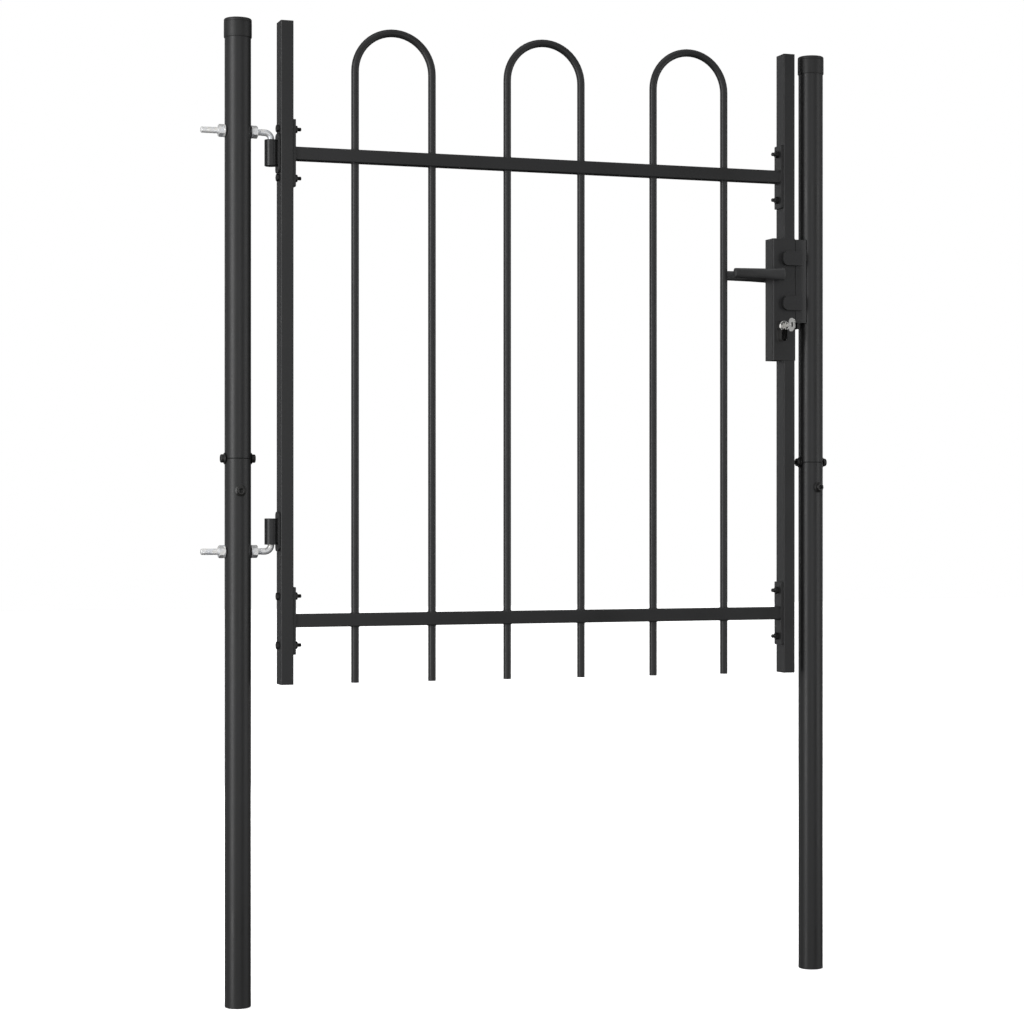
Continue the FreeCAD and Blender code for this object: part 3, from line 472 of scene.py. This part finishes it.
for hoop in ("hoop_1", "hoop_2", "hoop_3"):
    hoop_low, hoop_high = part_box(hoop)
    BAR_XS += [hoop_low.x + BAR_RADIUS, hoop_high.x - BAR_RADIUS]
spindle = centre("spindle")


# ---------------------------------------------------------------------- posts and hinge bolts


def cap(node):
    """A moulded cap: chamfered mouth, a fine parting line under the crown, and a slightly domed top."""
    low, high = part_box(node)
    x, top, mouth = centre(node).x, high.z / MM, low.z / MM
    outer, bore, roof = 21.25, 20.1, top - 3
    corners = [(0.2, roof), (bore, roof), (bore, mouth + 0.6), (bore + 0.3, mouth), (outer - 0.75, mouth)]
    corners += [(outer - 0.3, mouth + 0.5), (outer, mouth + 1.6)]
    corners += [(outer, top - 6.6), (outer - 0.4, top - 6.2), (outer - 0.4, top - 5.8)]
    corners += [(outer - 0.1, top - 5.4), (outer - 0.1, top - 3.2)]
    for i in range(1, 7):
        turn = math.pi / 12 * i
        corners.append((outer - 2.6 + 2.5 * math.cos(turn), top - 3.2 + 2.5 * math.sin(turn)))
    corners += [(12, top - 0.3), (5, top - 0.05), (0.2, top)]
    remade(node, aimed(stack(turned(corners)), (x, 0, 0)), crease=CAP_CREASE)


def joint_bolt():
    """M8 flanged bolt with a hexagon socket, the underside of its head at 0."""
    rings = turned([(3.4, -15), (4, -14), (4, -0.1), (8.4, 0), (8.75, 0.3), (8.75, 0.9), (8.5, 1.2)])
    rings += turned([(6.9, 1.8), (6.45, 2.4), (6.4, 5.4), (6.2, 6.2), (5.7, 6.65), (5.2, 6.8), (3.75, 6.8)])
    rings += [hexagon(6 * MM, 6.45 * MM), hexagon(6 * MM, 3.6 * MM)]
    rings += turned([(2.6, 3.4), (0.2, 2.6)])
    return stack(rings)


def joint_bolts(prefix, turn):
    """A post's joint bolts: two across the seam, and one below it turned about Z from the front."""
    x = POST_XS[prefix]
    a = math.radians(turn)
    out = Vector((math.sin(a), -math.cos(a), 0))
    low_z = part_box(f"{prefix}_joint_bolts")[0].z + FLANGE_RADIUS
    bolt = joint_bolt()
    shapes = [aimed(bolt, (x + POST_RADIUS * way, 0, SEAM), (way, 0, 0)) for way in (-1, 1)]
    shapes.append(aimed(bolt, Vector((x, 0, low_z)) + out * POST_RADIUS, out))
    remade(f"{prefix}_joint_bolts", joined(shapes))


def hex_nut(across, thick, bore):
    """A nut on 0, chamfered at thirty degrees on both faces, its bore countersunk."""
    flat = across / 2 * 0.95
    sink = 0.6 * MM
    rings = [circle(flat, 0), hexagon(across, 0, -CHAMFER_SLOPE)]
    rings += [hexagon(across, thick, CHAMFER_SLOPE), circle(flat, thick)]
    rings += [circle(bore + sink, thick), circle(bore, thick - sink)]
    rings += [circle(bore, sink), circle(bore + sink, 0)]
    return stack(rings, loop=True)


def rod_ring(radii, at, along):
    """One ring of a rod that bends in the XZ plane."""
    side = Vector((0, 1, 0))
    rise = side.cross(along)
    return [
        Vector(at) + side * (radius * math.cos(angle)) + rise * (radius * math.sin(angle))
        for angle, (radius, _) in zip(COLUMN_ANGLES, radii)
    ]


def hinge_bolt(name, pin_way):
    """A J-bolt: threaded where the nuts run, bent once at a wide radius, and the pin's end chamfered."""
    node = f"{name}_hinge_bolt"
    low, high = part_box(node)
    z, bend, pitch, depth = ROD_HEIGHTS[name], 10 * MM, 1.5 * MM, 0.8 * MM
    corner = HINGE_X - bend
    length = corner - low.x
    hidden = (-POST_RADIUS - low.x + MM, POST_RADIUS - low.x - MM)
    runout = length - 6 * MM
    rings = turned([(3.4, 0), (4.0, 0.4)])
    rings += threads(ROD_RADIUS, pitch, depth, 1.0 * MM, hidden[0])
    rings += [circle(ROD_RADIUS, hidden[0] + MM), circle(ROD_RADIUS, hidden[1] - MM)]
    rings += threads(ROD_RADIUS, pitch, depth, hidden[1], runout)
    rings.append(circle(ROD_RADIUS, runout + 1.2 * MM))
    forward = Vector((1, 0, 0))
    verts = []
    for ring in rings:
        verts += rod_ring(ring, (low.x + ring[0][1], 0, z), forward)
    plain = circle(ROD_RADIUS, 0)
    steps = 16
    for i in range(steps + 1):
        a = math.pi / 2 * i / steps
        along = Vector((math.cos(a), 0, pin_way * math.sin(a)))
        at = (corner + bend * math.sin(a), 0, z + pin_way * bend * (1 - math.cos(a)))
        verts += rod_ring(plain, at, along)
    end = high.z if pin_way > 0 else low.z
    down = Vector((0, 0, pin_way))
    for radius, back in ((5, 1), (4.7, 0.5), (4.1, 0)):
        verts += rod_ring(circle(radius * MM, 0), (HINGE_X, 0, end - pin_way * back * MM), down)
    rows = len(verts) // COLUMNS
    remade(node, (verts, skin(rows, COLUMNS)), crease=ROUNDED_CREASE)


def hinge_fasteners():
    """An M10 nut on a washer on both sides of the post, for each hinge bolt."""
    nut = hex_nut(17 * MM, 8 * MM, 4.35 * MM)
    rings = turned([(5.25, 0), (9.6, 0), (9.95, 0.35), (9.95, 1.65), (9.6, 2), (5.25, 2)])
    washer = stack(rings, loop=True)
    spots = [(way, z) for z in ROD_HEIGHTS.values() for way in (-1, 1)]
    nut_x = POST_RADIUS + WASHER_THICK
    washers = [aimed(washer, (POST_RADIUS * way, 0, z), (way, 0, 0)) for way, z in spots]
    remade("hinge_bolt_washers", joined(washers))
    nuts = [aimed(nut, (nut_x * way, 0, z), (way, 0, 0)) for way, z in spots]
    remade("hinge_bolt_nuts", joined(nuts), crease=NUT_CREASE)


cap("hinge_post_cap")
cap("latch_post_cap")
joint_bolts("hinge_post", 0)
joint_bolts("latch_post", LATCH_BOLT_TURN)
hinge_bolt("upper", -1)
hinge_bolt("lower", 1)
hinge_fasteners()


# ---------------------------------------------------------------------- leaf fasteners


def rail_bolt():
    """M6 bolt with a chamfered hexagon head on 0, threaded towards its end."""
    rings = turned([(2.2, -35), (2.6, -34.6)])
    rings += threads(3 * MM, 1 * MM, 0.55 * MM, -34.2 * MM, -20 * MM)
    rings += turned([(3, -19), (3, -0.05), (4.7, 0)])
    rings += [hexagon(10 * MM, 0.25 * MM, -0.3), hexagon(10 * MM, 4 * MM, CHAMFER_SLOPE)]
    rings += turned([(4.7, 4), (3.6, 3.85), (0.2, 3.85)])
    return stack(rings)


def rail_fasteners():
    """Two M6 bolts and nuts at each end of each rail."""
    bolt = rail_bolt()
    nut = hex_nut(10 * MM, 5 * MM, 2.6 * MM)
    heads = (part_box("hinge_stile")[0].x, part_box("latch_stile_upper")[1].x)
    offsets = (RAIL_BOLT_OFFSET, -RAIL_BOLT_OFFSET)
    heights = [rail + offset for rail in RAIL_HEIGHTS for offset in offsets]
    bolts, nuts = [], []
    for z in heights:
        for way, head_x, end_x in zip((-1, 1), heads, RAIL_ENDS):
            bolts.append(aimed(bolt, (head_x, 0, z), (way, 0, 0)))
            nuts.append(aimed(nut, (end_x, 0, z), (-way, 0, 0)))
    remade("rail_bolts", joined(bolts), crease=BOLT_CREASE)
    remade("rail_nuts", joined(nuts), crease=NUT_CREASE)


rail_fasteners()


# ---------------------------------------------------------------------- welds


BEAD_STEP = 0.8 * MM


def bead(path, radius, loop=False):
    """A weld bead along points about BEAD_STEP apart, with the ripples of its pools."""
    columns = 10
    verts = []
    count = len(path)
    for i, at in enumerate(path):
        before = path[i - 1] if loop or i else path[0]
        after = path[(i + 1) % count] if loop or i < count - 1 else path[-1]
        along = (after - before).normalized()
        side = along.cross(Vector((0.31, 0.57, 0.76))).normalized()
        rise = side.cross(along)
        end = 1.0 if loop else min(1.0, 0.35 + 0.4 * min(i, count - 1 - i))
        ripple, unevenness = 0.1 * math.sin(i * 2.1), 0.18 * noise.noise(at * 400)
        size = radius * end * (1 + ripple + unevenness)
        for c in range(columns):
            angle = TAU * c / columns
            verts.append(at + side * (size * math.cos(angle)) + rise * (size * math.sin(angle)))
    return verts, skin(count, columns, loop)


def line(start, end):
    """The points of a straight bead."""
    start, end = Vector(start), Vector(end)
    count = max(2, round((end - start).length / BEAD_STEP))
    return [start.lerp(end, i / count) for i in range(count + 1)]


def ring_path(x, z, radius):
    """The points of a bead round an upright bar."""
    count = round(TAU * radius / BEAD_STEP)
    angles = [TAU * i / count for i in range(count)]
    return [Vector((x + radius * math.cos(a), radius * math.sin(a), z)) for a in angles]


def welds():
    """Beads where the bars pass the rails, at the rails' ends, the barrels and the strike."""
    at_bars, at_ends, at_barrels, at_strike = [], [], [], []
    for x in BAR_XS:
        for z in RAIL_HEIGHTS:
            for way in (-1, 1):
                path = ring_path(x, z + way * (RAIL_HALF + 0.1 * MM), BAR_RADIUS + 0.3 * MM)
                at_bars.append(bead(path, 1.0 * MM, loop=True))
    piece("bar_welds", joined(at_bars), "leaf", "powder_coat", crease=WELD_CREASE)
    edge, reach = RAIL_HALF + 0.1 * MM, RAIL_HALF - 1.2 * MM
    for end_x, way in zip(RAIL_ENDS, (1, -1)):
        x = end_x + way * 0.2 * MM
        for z in RAIL_HEIGHTS:
            for side in (-1, 1):
                y, level = side * edge, z + side * edge
                at_ends.append(bead(line((x, y, z - reach), (x, y, z + reach)), 1.5 * MM))
                at_ends.append(bead(line((x, -reach, level), (x, reach, level)), 1.5 * MM))
    piece("rail_end_welds", joined(at_ends), "leaf", "powder_coat", crease=WELD_CREASE)
    for name in ("upper", "lower"):
        low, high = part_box(f"{name}_hinge_barrel")
        x = high.x - 0.3 * MM
        for side in (-1, 1):
            y = side * 4.9 * MM
            path = line((x, y, low.z + 1.5 * MM), (x, y, high.z - 1.5 * MM))
            at_barrels.append(bead(path, 1.5 * MM))
    piece("barrel_welds", joined(at_barrels), "leaf", "powder_coat", crease=WELD_CREASE)
    low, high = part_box("strike")
    x, seat_y, length = high.x + 0.2 * MM, 12.9 * MM, 24 * MM
    for y in (-seat_y, seat_y):
        for start in (14, 62, 110):
            z = low.z + start * MM
            at_strike.append(bead(line((x, y, z), (x, y, z + length)), 1.4 * MM))
    piece("strike_welds", joined(at_strike), "posts", "powder_coat", crease=WELD_CREASE)


welds()


# ---------------------------------------------------------------------- lock and levers


def lever(node, side):
    """A tapered lever with softly squared sections, on a round neck that flares into its back.

    Knots are (distance from the root, half height, half depth) and stations (distance, fullness).
    """
    low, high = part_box(node)
    root_x = spindle.x + 4 * MM
    length = root_x - low.x
    knots = [(0, 10.3, 6.6), (11, 9.3, 6.2), (37, 8.4, 5.8), (87.8, 7.6, 5.4)]
    y = side * (abs(high.y if side > 0 else low.y) - knots[0][2] * MM)
    stations = [(0, 0.86), (0.25, 0.93), (0.7, 0.98), (1.4, 1.0), (5.5, 1.0), (11, 1.0), (22, 1.0)]
    stations += [(37, 1.0), (55, 1.0), (70, 1.0), (80, 1.0), (86.2, 1.0), (87.1, 0.98), (87.6, 0.94)]
    stations += [(87.8, 0.87)]
    columns, squareness, end_radius = 56, 0.8, 6 * MM
    verts = []
    for back, full in stations:
        t = min(back * MM, length) / MM
        for (x0, tall0, deep0), (x1, tall1, deep1) in zip(knots, knots[1:]):
            if t <= x1:
                break
        share = min(1, (t - x0) / (x1 - x0))
        tall = (tall0 + (tall1 - tall0) * share) * MM
        deep = (deep0 + (deep1 - deep0) * share) * MM
        inset = (1 - full) * end_radius
        for c in range(columns):
            a = TAU * c / columns
            ca, sa = math.cos(a), math.sin(a)
            dy = math.copysign(abs(ca) ** squareness, ca) * (deep - inset)
            dz = math.copysign(abs(sa) ** squareness, sa) * (tall - inset)
            verts.append(Vector((root_x - t * MM, y + dy, spindle.z + dz)))
    grip = verts, skin(len(stations), columns)
    inner, seat = 13.4 * MM, abs(y) - 5.2 * MM
    rings = [circle(7 * MM, inner), circle(7 * MM, seat - 2.2 * MM), circle(7.3 * MM, seat - 1 * MM)]
    rings += [circle(7.9 * MM, seat), circle(7.9 * MM, seat + 1.5 * MM)]
    neck = aimed(stack(rings), (spindle.x - 0.4 * MM, 0, spindle.z), (0, side, 0))
    remade(node, joined([grip, neck]), crease=ROUNDED_CREASE)


lever("front_lever", -1)
lever("rear_lever", 1)
SOFT_EDGES = {
    "lock_case": 0.4,
    "lock_faceplate": 0.3,
    "strike": 0.3,
    "front_plug": 0.25,
    "rear_plug": 0.25,
    "key": 0.35,
    "latch_bolt": 0.4,
    "dead_bolt": 0.4,
    "hinge_side_end_plates": 0.5,
    "latch_side_end_plates": 0.5,
    "upper_hinge_plate": 0.4,
    "lower_hinge_plate": 0.4,
    "upper_hinge_barrel": 0.5,
    "lower_hinge_barrel": 0.5,
    "stile_end_plugs": 0.5,
}
for node, width in SOFT_EDGES.items():
    softened(node, width)


END_REACH = 0.1 * MM
CYLINDER_ROUND_FROM = 7.5 * MM
CYLINDER_ROUND_LOW = -7 * MM


def on_cylinder_rim(edge):
    """Whether an edge is on the round part of the outline of one of the cylinder's end faces."""
    low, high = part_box("cylinder_body")
    at_end = all(min(v.co.y - low.y, high.y - v.co.y) < END_REACH for v in edge.verts)
    axis = centre("front_plug")
    middle = (edge.verts[0].co + edge.verts[1].co) / 2 - axis
    outer = math.hypot(middle.x, middle.z) > CYLINDER_ROUND_FROM
    return at_end and outer and middle.z > CYLINDER_ROUND_LOW


def tube_rim(node):
    """A test for edges on the outer rims of a post tube's two ends."""
    low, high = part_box(node)
    axis = centre(node)

    def on_rim(edge):
        at_end = all(min(v.co.z - low.z, high.z - v.co.z) < END_REACH for v in edge.verts)
        outs = [math.hypot(v.co.x - axis.x, v.co.y - axis.y) for v in edge.verts]
        return at_end and min(outs) > POST_RADIUS - END_REACH

    return on_rim


CYLINDER_RIM = 1.5
TUBE_RIM = 1.1
softened("cylinder_body", CYLINDER_RIM, on_cylinder_rim)
for post in POST_XS:
    for tube in (f"{post}_lower", f"{post}_upper"):
        softened(tube, TUBE_RIM, tube_rim(tube))


# ---------------------------------------------------------------------- floor, lights and camera


def camera():
    """The viewpoint: from the hinge side, level with the middle of the leaf."""
    data = bpy.data.cameras.new("Camera")
    data.lens = 84.48
    data.shift_y = -0.0043
    data.clip_end = 60
    made = bpy.data.objects.new("Camera", data)
    made.location = (-0.788, -3.586, 0.7575)
    made.rotation_euler = (math.pi / 2, 0, math.radians(-18.903))
    scene.collection.objects.link(made)
    scene.camera = made


def stepped(tree, stops):
    """A ramp node through grey levels at the given positions."""
    ramp = tree.nodes.new("ShaderNodeValToRGB")
    set_stops(ramp, [(position, grey(level)) for position, level in stops])
    return ramp


def wall_radiance(tree, direction):
    """Dim studio walls, lit in bands. The stops are (azimuth in degrees, radiance)."""
    stops = [
        (-180, 0.01),
        (-161, 0.02),
        (-156, 0.7),
        (-149, 1.0),
        (-145, 0.2),
        (-122, 0.2),
        (-108, 0.55),
        (16, 0.62),
        (19, 0.002),
        (32, 0.002),
        (35, 0.55),
        (82, 0.55),
        (100, 0.1),
        (140, 0.02),
        (180, 0.01),
    ]
    mapping = tree.nodes.new("ShaderNodeMapping")
    mapping.inputs["Rotation"].default_value = (0, 0, math.pi / 2)
    tree.links.new(direction, mapping.inputs["Vector"])
    around = tree.nodes.new("ShaderNodeTexGradient")
    around.gradient_type = "RADIAL"
    tree.links.new(mapping.outputs["Vector"], around.inputs["Vector"])
    walls = stepped(tree, [(azimuth / 360 + 0.5, level) for azimuth, level in stops])
    tree.links.new(around.outputs["Fac"], walls.inputs["Fac"])
    split = tree.nodes.new("ShaderNodeSeparateXYZ")
    tree.links.new(direction, split.inputs["Vector"])
    height = tree.nodes.new("ShaderNodeMapRange")
    height.inputs["From Min"].default_value = -1.0
    tree.links.new(split.outputs["Z"], height.inputs["Value"])
    fade = stepped(tree, [(0.25, 0.3), (0.45, 1), (0.64, 1), (0.8, 0.4), (0.97, 1.5)])
    tree.links.new(height.outputs["Result"], fade.inputs["Fac"])
    level = tree.nodes.new("ShaderNodeMath")
    level.operation = "MULTIPLY"
    tree.links.new(walls.outputs["Color"], level.inputs[0])
    tree.links.new(fade.outputs["Color"], level.inputs[1])
    return level.outputs["Value"]


def backdrop():
    """White to the camera, dim and soft to everything else, so that black paint stays black."""
    world = bpy.data.worlds.new("Studio")
    world.use_nodes = True
    scene.world = world
    tree = world.node_tree
    seen = tree.nodes["Background"]
    seen.inputs["Color"].default_value = (1, 1, 1, 1)
    seen.inputs["Strength"].default_value = 1.0
    felt = tree.nodes.new("ShaderNodeBackground")
    felt.inputs["Color"].default_value = (0.98, 0.99, 1, 1)
    direction = tree.nodes.new("ShaderNodeTexCoord").outputs["Generated"]
    tree.links.new(wall_radiance(tree, direction), felt.inputs["Strength"])
    path = tree.nodes.new("ShaderNodeLightPath")
    mix = tree.nodes.new("ShaderNodeMixShader")
    tree.links.new(path.outputs["Is Camera Ray"], mix.inputs[0])
    tree.links.new(felt.outputs[0], mix.inputs[1])
    tree.links.new(seen.outputs[0], mix.inputs[2])
    tree.links.new(mix.outputs[0], tree.nodes["World Output"].inputs["Surface"])


def softbox(name, at, wide, tall, radiance, aim=(0.48, 0, 0.75)):
    """A soft rectangular light at a place, facing the gate and unseen by the camera."""
    data = bpy.data.lights.new(name, "AREA")
    data.shape = "RECTANGLE"
    data.size = wide
    data.size_y = tall
    data.energy = radiance * wide * tall * math.pi
    made = bpy.data.objects.new(name, data)
    made.location = at
    back = Vector(at) - Vector(aim)
    made.rotation_euler = back.to_track_quat("Z", "Y").to_euler()
    made.visible_camera = False
    scene.collection.objects.link(made)
    return made


def studio():
    softbox("Key", (-1.5, -0.85, 0.95), 0.7, 2.8, 4.3)
    softbox("Fill", (2.15, -1.15, 0.9), 0.75, 2.0, 1.1)
    softbox("Front", (0.35, -2.7, 1.0), 0.8, 2.0, 0.8)
    softbox("RearRight", (2.3, 0.9, 0.9), 0.35, 2.0, 1.0)
    softbox("Rear", (0.3, 2.6, 1.3), 2.5, 2.2, 5.0).visible_glossy = False
    data = bpy.data.lights.new("Overhead", "SUN")
    data.energy = 2.2
    data.angle = math.radians(12)
    overhead = bpy.data.objects.new("Overhead", data)
    overhead.visible_glossy = False
    scene.collection.objects.link(overhead)


def floor():
    """A pale, very slightly mottled studio floor."""
    made = Surface("floor", IOR=1.4, Emission_Color=(1, 1, 1, 1), Emission_Strength=0.5)
    made.colour(made.noise(0.7, 4), [(0.3, grey(0.86)), (0.7, grey(0.9))])
    made.roughness(made.noise(0.05, 3), 0.6, 0.75)
    data = bpy.data.meshes.new("Floor")
    half = 14.0
    corners = [(-half, -half), (half, -half), (half, half), (-half, half)]
    low = cad_low.z - 0.2 * MM
    data.from_pydata([(x, y, low) for x, y in corners], [], [(0, 1, 2, 3)])
    data.materials.append(made.made)
    ground = bpy.data.objects.new("Floor", data)
    ground.visible_glossy = False
    ground.visible_diffuse = False
    scene.collection.objects.link(ground)


camera()
backdrop()
studio()
floor()
scene.view_settings.view_transform = "Standard"
scene.view_settings.look = "None"
